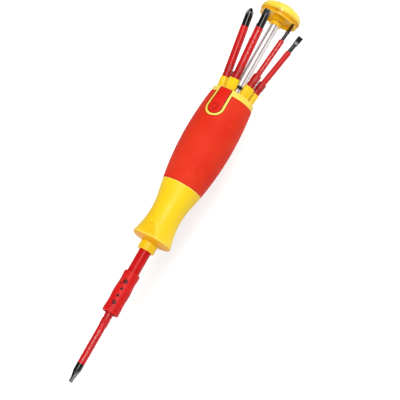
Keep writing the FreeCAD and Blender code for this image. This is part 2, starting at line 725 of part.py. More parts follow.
def liftSpring():
    start = TUBE_START_X + BUSH_LENGTH + STOP_GAP + GUIDE_HEAD_LENGTH
    length = TUBE_END_X - SPRING_PLUG_LENGTH - start
    radius = TUBE_BORE - SPRING_PLAY - LIFT_SPRING_WIRE / 2
    return coil(at(start), length, radius, LIFT_SPRING_WIRE, LIFT_SPRING_TURNS, X_AXIS)


def tubeRing():
    end = MOUTH_X + HOLDER_ABOVE_MOUTH - RING_BELOW_HOLDER_TOP
    return ring(end - RING_WIDTH, end, TUBE_RADIUS, TUBE_RADIUS + RING_HEIGHT)


def capScrewShank():
    return rod(TUBE_END_X - SCREW_THREAD_LENGTH, TUBE_END_X + SCREW_WEB, SCREW_RADIUS)


def capScrew():
    headX = TUBE_END_X + SCREW_WEB
    head = rod(headX, headX + SCREW_HEAD_LENGTH, SCREW_HEAD_RADIUS)
    slot = hexagon(headX + SCREW_HEAD_LENGTH / 2, headX + SCREW_HEAD_LENGTH, SCREW_RADIUS * 1.4)
    return capScrewShank().fuse(head.cut(slot))


def capInsert():
    bottomX = CAP_RIM_X - SKIRT_BELOW_RIM
    plateX = CAP_RIM_X - PLATE_THICKNESS / 3
    plateTopX = plateX + PLATE_THICKNESS
    insert = ring(bottomX, plateTopX, SKIRT_RADIUS - SKIRT_WALL, SKIRT_RADIUS)
    insert = insert.fuse(rod(plateX, plateTopX, SKIRT_RADIUS))
    insert = insert.fuse(rod(CAP_RIM_X - BOSS_STEP_BELOW_RIM, TUBE_END_X + SCREW_WEB, BOSS_RADIUS))
    insert = insert.fuse(rod(CAP_RIM_X - BOSS_BELOW_RIM, CAP_RIM_X, BOSS_COLLAR_RADIUS))
    insert = insert.cut(rod(CAP_RIM_X - BOSS_BELOW_RIM, TUBE_END_X, TUBE_RADIUS)).cut(capScrewShank())
    catchTop = TOOTH_TOP_X + LIFT_TRAVEL + CATCH_PLAY
    catchBottom = catchTop - TOOTH_THICKNESS - 2 * CATCH_PLAY
    catch = ring(catchBottom, catchTop, SKIRT_RADIUS - CATCH_DEPTH, SKIRT_RADIUS)
    return insert.cut(catch).removeSplitter()


def domeSolid(rimX, radius, height, band, edge):
    # A flat-topped dome: upright band, round edge and a wide crown that meet smoothly
    rise = height - band
    across = radius - edge
    crown = (rise ** 2 + across ** 2 - edge ** 2) / (2 * (rise - edge))
    edgeX, topX = rimX + band, rimX + height
    lean = math.atan2(across, crown - rise)
    joinX, joinRadius = edgeX + edge * math.cos(lean), across + edge * math.sin(lean)
    middle = (lean + math.pi / 2) / 2
    side = Part.Arc(
        at(edgeX, 0, radius),
        at(edgeX + edge * math.cos(middle), 0, across + edge * math.sin(middle)),
        at(joinX, 0, joinRadius),
    )
    top = Part.Arc(
        at(joinX, 0, joinRadius),
        at(topX - crown + crown * math.cos(lean / 2), 0, crown * math.sin(lean / 2)),
        at(topX),
    )
    edges = lines([(rimX, 0), (rimX, radius), (edgeX, radius)])
    edges += [side.toShape(), top.toShape(), line((topX, 0), (rimX, 0))]
    return spin(edges)


def capDome():
    plateTopX = CAP_RIM_X - PLATE_THICKNESS / 3 + PLATE_THICKNESS
    dome = domeSolid(CAP_RIM_X, CAP_RADIUS, CAP_HEIGHT, CAP_BAND, CAP_EDGE_RADIUS)
    hollow = domeSolid(
        plateTopX, CAP_RADIUS - 2 * CAP_WALL, CAP_RIM_X + CAP_HEIGHT - CAP_WALL - plateTopX,
        CAP_BAND / 3, CAP_EDGE_RADIUS - CAP_WALL,
    )
    return dome.cut(rod(CAP_RIM_X, plateTopX, SKIRT_RADIUS)).cut(hollow)


# Holders, drawn along the tool with the hinge pin at PIVOT_X, then fanned out

def holderSection(along, outer):
    spread = math.tan(math.radians(HOLDER_STEP / 2))
    trim = HOLDER_GAP / 2 / math.cos(math.radians(HOLDER_STEP / 2))
    half, face, inner = HOLDER_HALF_WIDTH, HOLDER_FACE_HALF_WIDTH, HOLDER_INNER
    sideZ = (half + trim) / spread
    innerHalf = (RING_RADIUS - inner) * spread - trim
    right = [
        (face, RING_RADIUS + outer),
        (half, RING_RADIUS + outer - (half - face)),
        (half, sideZ),
        (innerHalf, RING_RADIUS - inner),
    ]
    points = right + [(-y, z) for y, z in reversed(right)]
    return [at(PIVOT_X + along, y, z) for y, z in points]


def holderStretch(from_, to, outerFrom, outerTo):
    wires = [Part.makePolygon(p + p[:1]) for p in (holderSection(from_, outerFrom), holderSection(to, outerTo))]
    return Part.makeLoft(wires, True, True)


def bitHolder(number):
    taperFrom = HOLDER_TOP - HOLDER_ABOVE_MOUTH
    holder = holderStretch(HOLDER_BOTTOM, taperFrom, HOLDER_OUTER, HOLDER_OUTER)
    holder = holder.fuse(holderStretch(taperFrom, HOLDER_TOP, HOLDER_OUTER, HOLDER_LIP))
    tongue = block(
        PIVOT_X, PIVOT_X + HOLDER_BOTTOM, -TONGUE_HALF_WIDTH, TONGUE_HALF_WIDTH,
        RING_RADIUS - TONGUE_RADIUS, RING_RADIUS + TONGUE_RADIUS,
    )
    knuckle = Part.makeCylinder(
        TONGUE_RADIUS, 2 * TONGUE_HALF_WIDTH, at(PIVOT_X, -TONGUE_HALF_WIDTH, RING_RADIUS), Y_AXIS
    )
    holder = holder.fuse(tongue).fuse(knuckle)
    socket = Part.makeCylinder(
        SOCKET_RADIUS, SOCKET_DEPTH + 1, at(PIVOT_X + SOCKET_FLOOR, 0, RING_RADIUS), X_AXIS
    )
    lead = Part.makeCone(
        SOCKET_RADIUS, SOCKET_RADIUS + SOCKET_CHAMFER, SOCKET_CHAMFER,
        at(PIVOT_X + HOLDER_TOP - SOCKET_CHAMFER, 0, RING_RADIUS), X_AXIS,
    )
    holder = holder.cut(socket).cut(lead).cut(hingePin(HINGE_PLAY))
    return turned(fanned(holder.removeSplitter()), number)


# Bits, drawn from their drive end at the origin towards +X

def bitInsulation(bladeRadius, coreRadius):
    tipX = BIT_LENGTH - STEEL_TIP_LENGTH
    body = spinPoints([
        (DRIVE_HEX_LENGTH, coreRadius),
        (DRIVE_HEX_LENGTH, SHANK_RADIUS),
        (DRIVE_LENGTH, SHANK_RADIUS),
        (DRIVE_LENGTH + INSULATION_STEP * (SHANK_RADIUS - bladeRadius + 0.05), bladeRadius),
        (tipX, bladeRadius),
        (tipX, coreRadius),
    ])
    grooveEnd = DRIVE_GROOVE_AT + DRIVE_GROOVE_WIDTH
    body = body.cut(ring(DRIVE_GROOVE_AT, grooveEnd, SHANK_RADIUS - DRIVE_GROOVE_DEPTH, SHANK_RADIUS + 1))
    facetEnd = DRIVE_FACET_START + DRIVE_FACET_LENGTH
    facets = rod(DRIVE_FACET_START, facetEnd, SHANK_RADIUS + 1).cut(hexagon(DRIVE_FACET_START, facetEnd, DRIVE_FACET))
    return body.cut(facets)


def bladeShank(coreRadius):
    shank = hexagon(0, DRIVE_HEX_LENGTH, DRIVE_HEX)
    lead = Part.makeCone(DRIVE_HEX / 2 - 0.2, DRIVE_HEX / 2 + 1.8, 2, ORIGIN, X_AXIS)
    lead = lead.fuse(rod(2, DRIVE_HEX_LENGTH, DRIVE_HEX))
    return shank.common(lead).fuse(rod(DRIVE_HEX_LENGTH, BIT_LENGTH - STEEL_TIP_LENGTH, coreRadius))


def slottedBlade(coreRadius, neckRadius, neckLength, tipWidth, tipThickness):
    # A round neck, then a flat blade whose faces sweep in to the tip; the faces look along Y
    startX = BIT_LENGTH - STEEL_TIP_LENGTH
    flatX = startX + neckLength
    waistX = flatX + (BIT_LENGTH - flatX) * 0.35
    waist = tipThickness / 2 + (neckRadius - tipThickness / 2) * 0.38
    neck = rod(startX, flatX, neckRadius)
    half = tipWidth / 2
    stock = rod(flatX, BIT_LENGTH, max(neckRadius, math.hypot(half, tipThickness / 2)))
    slab = block(flatX, BIT_LENGTH, -FAR, FAR, -half, half)

    def corner(x, y):
        return at(x, y, -FAR / 2)

    upper = Part.Arc(
        corner(flatX, neckRadius), corner(waistX, waist), corner(BIT_LENGTH, tipThickness / 2)
    ).toShape()
    lower = Part.Arc(
        corner(BIT_LENGTH, -tipThickness / 2), corner(waistX, -waist), corner(flatX, -neckRadius)
    ).toShape()
    end = Part.LineSegment(corner(BIT_LENGTH, tipThickness / 2), corner(BIT_LENGTH, -tipThickness / 2)).toShape()
    root = Part.LineSegment(corner(flatX, -neckRadius), corner(flatX, neckRadius)).toShape()
    wedge = Part.Face(Part.Wire([upper, end, lower, root])).extrude(at(0, 0, FAR))
    blade = stock.common(slab).common(wedge)
    return bladeShank(coreRadius).fuse(neck).fuse(blade).removeSplitter()


def crossBlade(coreRadius, tipRadius, pointRadius, coneLength, fluteLength, wing, turn):
    # A round stem with a cone and four flutes that leave a cross; the turn sets where the flutes look
    startX = BIT_LENGTH - STEEL_TIP_LENGTH
    coneX = BIT_LENGTH - coneLength
    stem = rod(startX, coneX, tipRadius)
    stem = stem.fuse(Part.makeCone(tipRadius, pointRadius, coneLength, at(coneX), X_AXIS))
    lean = math.degrees(math.atan2(tipRadius * math.sqrt(2) - wing, fluteLength))
    for quarter in range(4):
        flute = block(-fluteLength * 2, 1, 0, FAR, 0, FAR)
        flute.rotate(ORIGIN, at(0, 1, -1), lean)
        flute.translate(at(BIT_LENGTH, wing / 2, wing / 2))
        flute.rotate(ORIGIN, X_AXIS, 90 * quarter + 45 + turn)
        stem = stem.cut(flute)
    return bladeShank(coreRadius).fuse(stem).removeSplitter()


# Each stored bit: its insulation radius, the radius of the steel under it, and its steel
BITS = {
    1: (2.9, 1.9, lambda: crossBlade(1.9, 2.7, 2.2, 1.0, 6.0, 0.9, 28)),
    2: (1.95, 1.1, lambda: slottedBlade(1.1, 1.25, 6.5, 3.0, 0.6)),
    3: (2.1, 1.3, lambda: slottedBlade(1.3, 1.55, 7.3, 4.0, 0.8)),
    5: (1.7, 1.0, lambda: crossBlade(1.0, 1.45, 0.5, 2.2, 5.0, 0.55, 0)),
    6: (2.95, 1.9, lambda: crossBlade(1.9, 2.85, 1.3, 3.4, 8.5, 1.0, 45)),
}
WORKING_BIT = (2.7, 1.8, lambda: slottedBlade(1.8, 2.7, 4.3, 5.2, 1.0))


def stored(shape, number):
    copy = shape.copy()
    copy.translate(at(PIVOT_X + SOCKET_FLOOR, 0, RING_RADIUS))
    return turned(fanned(copy), number)


def inChuck(shape):
    copy = shape.copy()
    copy.rotate(ORIGIN, Z_AXIS, 180)
    copy.rotate(ORIGIN, X_AXIS, WORKING_BIT_TURN)
    copy.translate(at(BIT_SEAT_X))
    return copy


def allNodes():
    nodes = {
        "handle_core": handleCore(),
        "soft_grip": softGrip(),
        "end_collar": endCollar(),
        "release_button": releaseButton(),
        "button_pivot_pin": buttonPin(),
        "button_spring": buttonSpring(),
        "drive_shaft": driveShaft(),
        "shaft_insulation": shaftInsulation(),
        "retaining_balls": retainingBalls(),
        "sleeve_seat_ring": sleeveSeatRing(),
        "sleeve_spring": sleeveSpring(),
        "lock_sleeve": lockSleeve(),
        "guide_pin": guidePin(),
        "lift_tube": liftTube(),
        "tube_bush": tubeBush(),
        "lift_spring": liftSpring(),
        "spring_plug": springPlug(),
        "tube_ring": tubeRing(),
        "magazine_hub": magazineHub(),
        "hub_clamp_plate": hubClampPlate(),
        "hinge_pins": hingePins(),
        "fan_spring": fanSpring(),
        "cap_insert": capInsert(),
        "cap_screw": capScrew(),
        "cap_dome": capDome(),
    }
    for number in holderNumbers():
        nodes["bit_holder_%d" % number] = bitHolder(number)
    for number, (insulationRadius, coreRadius, blade) in BITS.items():
        nodes["bit_%d_blade" % number] = stored(blade(), number)
        nodes["bit_%d_insulation" % number] = stored(bitInsulation(insulationRadius, coreRadius), number)
    insulationRadius, coreRadius, blade = WORKING_BIT
    nodes["working_bit_blade"] = inChuck(blade())
    nodes["working_bit_insulation"] = inChuck(bitInsulation(insulationRadius, coreRadius))
    return nodes


os.makedirs("parts", exist_ok=True)
for name, shape in allNodes().items():
    shape.exportStep("parts/%s.step" % name)
    print("%-24s %d solid, %9.2f mm3, valid %s" % (name, len(shape.Solids), shape.Volume, shape.isValid()))
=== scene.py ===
import bpy
import json
import math
from mathutils import Matrix, Vector
from mathutils.bvhtree import BVHTree

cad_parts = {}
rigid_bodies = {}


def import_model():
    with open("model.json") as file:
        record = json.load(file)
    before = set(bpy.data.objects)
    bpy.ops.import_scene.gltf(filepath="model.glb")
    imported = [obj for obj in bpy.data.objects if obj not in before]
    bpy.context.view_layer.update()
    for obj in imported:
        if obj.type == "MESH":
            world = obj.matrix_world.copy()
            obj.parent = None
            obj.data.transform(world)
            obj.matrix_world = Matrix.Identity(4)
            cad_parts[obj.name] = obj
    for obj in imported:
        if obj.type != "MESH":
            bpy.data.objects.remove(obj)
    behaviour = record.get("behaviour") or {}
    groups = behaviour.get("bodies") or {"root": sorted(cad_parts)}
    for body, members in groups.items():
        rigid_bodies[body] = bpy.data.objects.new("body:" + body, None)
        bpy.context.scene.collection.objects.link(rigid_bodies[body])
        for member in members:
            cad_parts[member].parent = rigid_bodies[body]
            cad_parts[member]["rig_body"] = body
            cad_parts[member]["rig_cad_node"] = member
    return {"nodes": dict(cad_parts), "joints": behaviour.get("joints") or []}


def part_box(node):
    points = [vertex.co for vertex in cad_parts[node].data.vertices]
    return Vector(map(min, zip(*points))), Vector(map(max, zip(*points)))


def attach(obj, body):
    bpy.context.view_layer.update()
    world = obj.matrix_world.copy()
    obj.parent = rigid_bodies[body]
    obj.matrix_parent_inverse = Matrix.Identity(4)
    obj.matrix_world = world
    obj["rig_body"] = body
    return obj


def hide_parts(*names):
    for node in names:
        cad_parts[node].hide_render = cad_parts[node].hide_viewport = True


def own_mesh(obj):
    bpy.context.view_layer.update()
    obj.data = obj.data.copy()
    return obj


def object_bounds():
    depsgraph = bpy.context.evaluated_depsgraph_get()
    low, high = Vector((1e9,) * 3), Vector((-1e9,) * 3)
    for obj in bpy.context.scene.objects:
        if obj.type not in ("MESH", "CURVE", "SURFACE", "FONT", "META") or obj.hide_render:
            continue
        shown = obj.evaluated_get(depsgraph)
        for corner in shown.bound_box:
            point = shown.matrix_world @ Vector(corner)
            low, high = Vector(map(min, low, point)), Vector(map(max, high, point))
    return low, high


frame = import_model()
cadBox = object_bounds()
mm = 0.001
joints = {joint["name"]: joint for joint in frame["joints"]}
print("frame loaded:", len(frame["nodes"]), "CAD nodes")


# Camera: long lens, looking down on the side of the release button and a little from the tip

cameraView = {
    "aim": (44.3, -13.6, -7.23),       # point that the camera is turned to, in mm
    "from": (44.3, 0.0, 0.0),          # point that the camera's direction is given from
    "direction": (-0.208, -0.459, 0.8635),
    "distance": 1340.0,
    "lens": 172.0,
    "toolLean": 29.7,                  # of the tool as the camera sees it, clockwise from upright
}


def addCamera():
    toCamera = Vector(cameraView["direction"]).normalized()
    place = (Vector(cameraView["from"]) + toCamera * cameraView["distance"]) * mm
    aim = Vector(cameraView["aim"]) * mm
    back = (place - aim).normalized()
    along = Vector((1, 0, 0))
    along = (along - back * along.dot(back)).normalized()
    across = along.cross(back)
    lean = math.radians(cameraView["toolLean"])
    right = along * math.sin(lean) + across * math.cos(lean)
    up = along * math.cos(lean) - across * math.sin(lean)
    data = bpy.data.cameras.new("camera")
    data.lens = cameraView["lens"]
    data.sensor_width = 36
    data.clip_start, data.clip_end = 0.01, 20
    camera = bpy.data.objects.new("camera", data)
    camera.matrix_world = Matrix.Translation(place) @ Matrix((right, up, back)).transposed().to_4x4()
    bpy.context.scene.collection.objects.link(camera)
    bpy.context.scene.camera = camera
    return right, up, back


viewRight, viewUp, viewBack = addCamera()
bpy.context.scene.view_settings.view_transform = "Standard"
print("camera set")


# Light: a soft box over the camera, one past the cap, one low at the left, and a pale room

studio = {
    "roomStrength": 0.29,
    "glossStrength": 0.45,             # of the room as it shows in gloss, straight above
    "glossSides": 0.1,                 # and low down at the sides
    "glossLow": 0.2,                   # share of the way to the camera where the sides end
    "glossHigh": 0.95,                 # and where the part straight above begins
    "floorSize": 12.0,                 # in m
    "floorDrop": 70.0,                 # of the floor below the tool, in mm
    "floorShade": 0.82,
    "floorGlow": 0.4,                  # under the tool; far off, the floor fades to plain white
    "fadeStart": 0.4,                  # from the origin, in m
    "fadeEnd": 1.6,
    # each box: its place right of, above and in front of the tool, its width and height, and its power
    "overCamera": ((0.05, 0.6, 1.8), (0.4, 1.4), 21.5),
    "pastCap": ((1.2, 1.9, 1.0), (1.4, 0.8), 22.0),
    "fromLeft": ((-1.5, -0.9, 0.8), (0.9, 1.6), 18.0),
}


def addSoftBox(name, offset, size, power):
    right, up, back = offset
    middle = Vector(cameraView["from"]) * mm
    data = bpy.data.lights.new(name, "AREA")
    data.shape = "RECTANGLE"
    data.size, data.size_y = size
    data.energy = power
    lamp = bpy.data.objects.new(name, data)
    away = (viewRight * right + viewUp * up + viewBack * back).normalized()
    across = Vector((1, 0, 0)).cross(away).normalized()    # the box's height is along the tool
    place = middle + viewRight * right + viewUp * up + viewBack * back
    turn = Matrix((across, away.cross(across), away)).transposed().to_4x4()
    lamp.matrix_world = Matrix.Translation(place) @ turn
    bpy.context.scene.collection.objects.link(lamp)


def addRoom():
    # The room lights evenly, shows as plain white, and is greyer at its sides where it shows in gloss
    world = bpy.data.worlds.new("room")
    bpy.context.scene.world = world
    world.use_nodes = True
    tree = world.node_tree
    background = tree.nodes["Background"]
    background.inputs["Color"].default_value = (1, 1, 1, 1)
    toward = addVectorMath(tree, "DOT_PRODUCT", addPlace(tree, "Generated"), viewBack)[1]
    gloss = addRange(tree, toward, studio["glossLow"], studio["glossHigh"],
                     studio["glossSides"], studio["glossStrength"])
    plain = addRange(tree, addSeenMask(tree), 0.0, 1.0, studio["roomStrength"], 1.0)
    glossy = tree.nodes.new("ShaderNodeLightPath").outputs["Is Glossy Ray"]
    inGloss = addMath(tree, "MULTIPLY", glossy, addMath(tree, "SUBTRACT", gloss, plain))
    tree.links.new(addMath(tree, "ADD", plain, inGloss), background.inputs["Strength"])


def addFloor():
    # White under the tool with its shadow, plain white far off, and clear from below
    height = cadBox[0][2] - studio["floorDrop"] * mm
    bpy.ops.object.select_all(action="DESELECT")
    bpy.ops.mesh.primitive_plane_add(size=studio["floorSize"], location=(0, 0, height))
    floor = bpy.context.object
    floor.name = "floor"
    material = bpy.data.materials.new("floorWhite")
    material.use_nodes = True
    tree = material.node_tree
    tree.nodes.clear()
    output = tree.nodes.new("ShaderNodeOutputMaterial")
    paint = tree.nodes.new("ShaderNodeBsdfDiffuse")
    shade = studio["floorShade"]
    paint.inputs["Color"].default_value = (shade, shade, shade, 1)
    glow = tree.nodes.new("ShaderNodeEmission")
    white = tree.nodes.new("ShaderNodeEmission")
    seen = addSeenMask(tree)
    tree.links.new(addMath(tree, "MULTIPLY", seen, studio["floorGlow"]), glow.inputs["Strength"])
    lit = tree.nodes.new("ShaderNodeAddShader")
    tree.links.new(paint.outputs[0], lit.inputs[0])
    tree.links.new(glow.outputs[0], lit.inputs[1])
    reach = addVectorMath(tree, "LENGTH", addPlace(tree))[1]
    far = addRange(tree, reach, studio["fadeStart"], studio["fadeEnd"], 0.0, 1.0)
    faded = addShaderMix(tree, addMath(tree, "MULTIPLY", far, seen), lit.outputs[0], white.outputs[0])
    clear = tree.nodes.new("ShaderNodeBsdfTransparent")
    below = tree.nodes.new("ShaderNodeNewGeometry").outputs["Backfacing"]
    tree.links.new(addShaderMix(tree, below, faded, clear.outputs[0]), output.inputs["Surface"])
    floor.data.materials.append(material)


# Small steps that every node tree uses

def newGroup(name, inputs, outputs):
    group = bpy.data.node_groups.new(name, "ShaderNodeTree")
    for label, kind, value in inputs:
        socket = group.interface.new_socket(label, in_out="INPUT", socket_type=kind)
        if value is not None:
            socket.default_value = value
    for label, kind in outputs:
        group.interface.new_socket(label, in_out="OUTPUT", socket_type=kind)
    return group, group.nodes.new("NodeGroupInput"), group.nodes.new("NodeGroupOutput")


def addPlace(tree, kind="Object"):
    return tree.nodes.new("ShaderNodeTexCoord").outputs[kind]


def splitPlace(tree, place):
    split = tree.nodes.new("ShaderNodeSeparateXYZ")
    tree.links.new(place, split.inputs[0])
    return split.outputs


def placeX(tree, place):
    return splitPlace(tree, place)["X"]


def addNoise(tree, vector, scale, detail=4.0, rough=0.5):
    noise = tree.nodes.new("ShaderNodeTexNoise")
    noise.inputs["Detail"].default_value = detail
    noise.inputs["Roughness"].default_value = rough
    if isinstance(scale, (int, float)):
        noise.inputs["Scale"].default_value = scale
    else:
        tree.links.new(scale, noise.inputs["Scale"])
    tree.links.new(vector, noise.inputs["Vector"])
    return noise.outputs["Fac"]


def addMath(tree, operation, first, second=None, clamp=False):
    node = tree.nodes.new("ShaderNodeMath")
    node.operation = operation
    node.use_clamp = clamp
    for socket, value in zip(node.inputs, (first, second)):
        if value is None:
            continue
        if isinstance(value, (int, float)):
            socket.default_value = value
        else:
            tree.links.new(value, socket)
    return node.outputs[0]


def addRange(tree, value, fromMin, fromMax, toMin, toMax):
    node = tree.nodes.new("ShaderNodeMapRange")
    for label, number in (("From Min", fromMin), ("From Max", fromMax), ("To Min", toMin), ("To Max", toMax)):
        if isinstance(number, (int, float)):
            node.inputs[label].default_value = number
        else:
            tree.links.new(number, node.inputs[label])
    tree.links.new(value, node.inputs["Value"])
    return node.outputs["Result"]


def addSeenMask(tree):
    # 1 where the camera sees the surface, on its own or through a clear one
    path = tree.nodes.new("ShaderNodeLightPath")
    return addMath(tree, "MAXIMUM", path.outputs["Is Camera Ray"], path.outputs["Is Transmission Ray"])


def addShaderMix(tree, share, first, second):
    mix = tree.nodes.new("ShaderNodeMixShader")
    tree.links.new(share, mix.inputs[0])
    tree.links.new(first, mix.inputs[1])
    tree.links.new(second, mix.inputs[2])
    return mix.outputs[0]


def addMix(tree, factor, first, second):
    node = tree.nodes.new("ShaderNodeMix")
    node.data_type = "RGBA"
    sockets = [node.inputs["Factor"]] + [s for s in node.inputs if s.type == "RGBA"]
    for socket, value in zip(sockets, (factor, first, second)):
        if isinstance(value, (int, float)):
            socket.default_value = value
        elif isinstance(value, (tuple, list)):
            socket.default_value = (*value[:3], 1)
        else:
            tree.links.new(value, socket)
    return [s for s in node.outputs if s.type == "RGBA"][0]


def addVectorMath(tree, operation, first, second=None, scale=None):
    node = tree.nodes.new("ShaderNodeVectorMath")
    node.operation = operation
    for socket, value in zip(node.inputs, (first, second)):
        if value is None:
            continue
        if isinstance(value, (tuple, list, Vector)):
            socket.default_value = tuple(value)
        else:
            tree.links.new(value, socket)
    if scale is not None:
        tree.links.new(scale, node.inputs["Scale"])
    return node.outputs


def addBand(tree, value, middle, halfWidth, fade):
    # 1 within halfWidth of the middle, falling to 0 over the fade
    away = addMath(tree, "ABSOLUTE", addMath(tree, "SUBTRACT", value, middle))
    return addRange(tree, away, halfWidth, halfWidth + fade, 1.0, 0.0)


def takeAlone(piece):
    bpy.ops.object.select_all(action="DESELECT")
    piece.select_set(True)
    bpy.context.view_layer.objects.active = piece


addRoom()
addFloor()
for name in ("overCamera", "pastCap", "fromLeft"):
    addSoftBox(name, *studio[name])
print("studio lit")


# Shader groups that several finishes share

def makeSkinGroup():
    # Moulded skin: fine texture, slow unevenness and a few handling marks
    group, start, end = newGroup(
        "mouldedSkin",
        [
            ("Vector", "NodeSocketVector", None),
            ("Grain Scale", "NodeSocketFloat", 2500.0),
            ("Wave Scale", "NodeSocketFloat", 45.0),
            ("Mark Amount", "NodeSocketFloat", 0.3),
        ],
        [("Height", "NodeSocketFloat"), ("Shade", "NodeSocketFloat"), ("Marks", "NodeSocketFloat")],
    )
    vector = start.outputs["Vector"]
    grain = addNoise(group, vector, start.outputs["Grain Scale"], 2.0, 0.6)
    wave = addNoise(group, vector, start.outputs["Wave Scale"], 3.0, 0.5)
    patch = addNoise(group, vector, 260.0, 6.0, 0.7)
    spots = addRange(group, patch, 0.6, 0.72, 0.0, 1.0)
    marks = addMath(group, "MULTIPLY", spots, start.outputs["Mark Amount"])
    swell = addMath(group, "MULTIPLY", wave, 0.5)
    height = addMath(group, "ADD", grain, swell)
    group.links.new(height, end.inputs["Height"])
    group.links.new(wave, end.inputs["Shade"])
    group.links.new(marks, end.inputs["Marks"])
    return group


def makeLinesGroup():
    # Long fine lines along the tool, as on ground steel or a brushed mould
    group, start, end = newGroup(
        "drawnLines",
        [
            ("Vector", "NodeSocketVector", None),
            ("Stretch", "NodeSocketVector", (60.0, 4000.0, 4000.0)),
        ],
        [("Height", "NodeSocketFloat"), ("Tone", "NodeSocketFloat")],
    )
    scaled = addVectorMath(group, "MULTIPLY", start.outputs["Vector"], start.outputs["Stretch"])[0]
    fine = addNoise(group, scaled, 1.0, 3.0, 0.6)
    slow = addNoise(group, start.outputs["Vector"], 120.0, 4.0, 0.6)
    group.links.new(fine, end.inputs["Height"])
    group.links.new(slow, end.inputs["Tone"])
    return group


def makeRodGroup():
    # Distance along a rod from its start, and distance from its axis
    group, start, end = newGroup(
        "alongRod",
        [
            ("Vector", "NodeSocketVector", None),
            ("Start", "NodeSocketVector", (0.0, 0.0, 0.0)),
            ("Axis", "NodeSocketVector", (1.0, 0.0, 0.0)),
        ],
        [("Along", "NodeSocketFloat"), ("Reach", "NodeSocketFloat")],
    )
    offset = addVectorMath(group, "SUBTRACT", start.outputs["Vector"], start.outputs["Start"])[0]
    along = addVectorMath(group, "DOT_PRODUCT", offset, start.outputs["Axis"])[1]
    onAxis = addVectorMath(group, "SCALE", start.outputs["Axis"], scale=along)[0]
    sideways = addVectorMath(group, "SUBTRACT", offset, onAxis)[0]
    reach = addVectorMath(group, "LENGTH", sideways)[1]
    group.links.new(along, end.inputs["Along"])
    group.links.new(reach, end.inputs["Reach"])
    return group


buttonShape = {
    "roundX": 104.45,                  # of the middle of the button's round end, in mm
    "taper": 0.039,                    # of its half width, for each mm towards the mouth
    "halfWidth": 5.35,
    "frameHalfWidth": 7.1,             # to the outside of the frame round it
}


def makeButtonGroup():
    # Distance from the button's middle line, measured so that its outline is at one distance all round
    group, start, end = newGroup(
        "buttonOutline", [("Vector", "NodeSocketVector", None)], [("Distance", "NodeSocketFloat")]
    )
    split = splitPlace(group, start.outputs["Vector"])
    ahead = addMath(group, "SUBTRACT", split["X"], buttonShape["roundX"] * mm)
    below = addMath(group, "MINIMUM", ahead, 0.0)
    squares = addMath(group, "ADD", addMath(group, "POWER", below, 2.0),
                      addMath(group, "POWER", split["Y"], 2.0))
    widened = addMath(group, "MULTIPLY", addMath(group, "MAXIMUM", ahead, 0.0), buttonShape["taper"])
    distance = addMath(group, "ADD", addMath(group, "SQRT", squares), widened)
    farSide = addRange(group, split["Z"], 0.0, 0.008, 1.0, 0.0)      # puts the handle's back out of reach
    group.links.new(addMath(group, "ADD", distance, farSide), end.inputs["Distance"])
    return group


skinGroup = makeSkinGroup()
linesGroup = makeLinesGroup()
rodGroup = makeRodGroup()
buttonGroup = makeButtonGroup()
print("shader groups made")


# Finishes: colours are written as they look on a screen, from 0 to 255, and made linear here

def linear(red, green, blue):
    def convert(value):
        value = value / 255
        return value / 12.92 if value <= 0.04045 else ((value + 0.055) / 1.055) ** 2.4
    return tuple(convert(v) for v in (red, green, blue))


def newFinish(name):
    material = bpy.data.materials.new(name)
    material.use_nodes = True
    tree = material.node_tree
    shader = tree.nodes["Principled BSDF"]
    return material, tree, shader, addPlace(tree)


def addBump(tree, shader, height, strength, distance):
    bump = tree.nodes.new("ShaderNodeBump")
    bump.inputs["Strength"].default_value = strength
    bump.inputs["Distance"].default_value = distance
    tree.links.new(height, bump.inputs["Height"])
    tree.links.new(bump.outputs["Normal"], shader.inputs["Normal"])


def placeGroup(tree, group, vector, **values):
    node = tree.nodes.new("ShaderNodeGroup")
    node.node_tree = group
    tree.links.new(vector, node.inputs["Vector"])
    for label, value in values.items():
        node.inputs[label].default_value = value
    return node.outputs


def placeSkin(tree, place, settings):
    values = {
        "Grain Scale": settings["grainScale"],
        "Wave Scale": settings["waveScale"],
        "Mark Amount": settings["marks"],
    }
    return placeGroup(tree, skinGroup, place, **values)


def mouldedPlastic(name, settings, paint=None):
    material, tree, shader, place = newFinish(name)
    skin = placeSkin(tree, place, settings)
    shade = addRange(tree, skin["Shade"], 0.3, 0.7, 0.0, 1.0)
    color = addMix(tree, shade, settings["deep"], settings["color"])
    if "streak" in settings:
        lines = placeGroup(tree, linesGroup, place, Stretch=settings["streak"])
        streaks = addRange(tree, lines["Height"], 0.4, 0.75, 0.0, 0.5)
        color = addMix(tree, streaks, color, settings["deep"])
    if paint:
        color = paint(tree, place, color)
    color = addMix(tree, skin["Marks"], color, settings["scuff"])
    tree.links.new(color, shader.inputs["Base Color"])
    rough = addRange(tree, skin["Shade"], 0.2, 0.8, settings["rough"] - 0.05, settings["rough"] + 0.06)
    tree.links.new(rough, shader.inputs["Roughness"])
    shader.inputs["Specular IOR Level"].default_value = settings["gloss"]
    shader.inputs["Coat Weight"].default_value = settings.get("coat", 0.0)
    shader.inputs["Coat Roughness"].default_value = 0.12
    addBump(tree, shader, skin["Height"], settings["bump"], settings["bumpDepth"])
    return material


def drawnSteel(name, settings, paint=None):
    material, tree, shader, place = newFinish(name)
    lines = placeGroup(tree, linesGroup, place, Stretch=settings["stretch"])
    tone = addRange(tree, lines["Tone"], 0.3, 0.7, 0.0, 1.0)
    color = addMix(tree, tone, settings["deep"], settings["color"])
    if paint:
        color = paint(tree, place, color, lines["Tone"])
    tree.links.new(color, shader.inputs["Base Color"])
    rough = addRange(tree, lines["Height"], 0.2, 0.8, settings["rough"] - 0.04, settings["rough"] + 0.06)
    tree.links.new(rough, shader.inputs["Roughness"])
    shader.inputs["Metallic"].default_value = settings.get("metallic", 1.0)
    shader.inputs["Coat Weight"].default_value = settings.get("coat", 0.0)
    shader.inputs["Coat Roughness"].default_value = 0.1
    addBump(tree, shader, lines["Height"], settings["bump"], 0.00002)
    return material


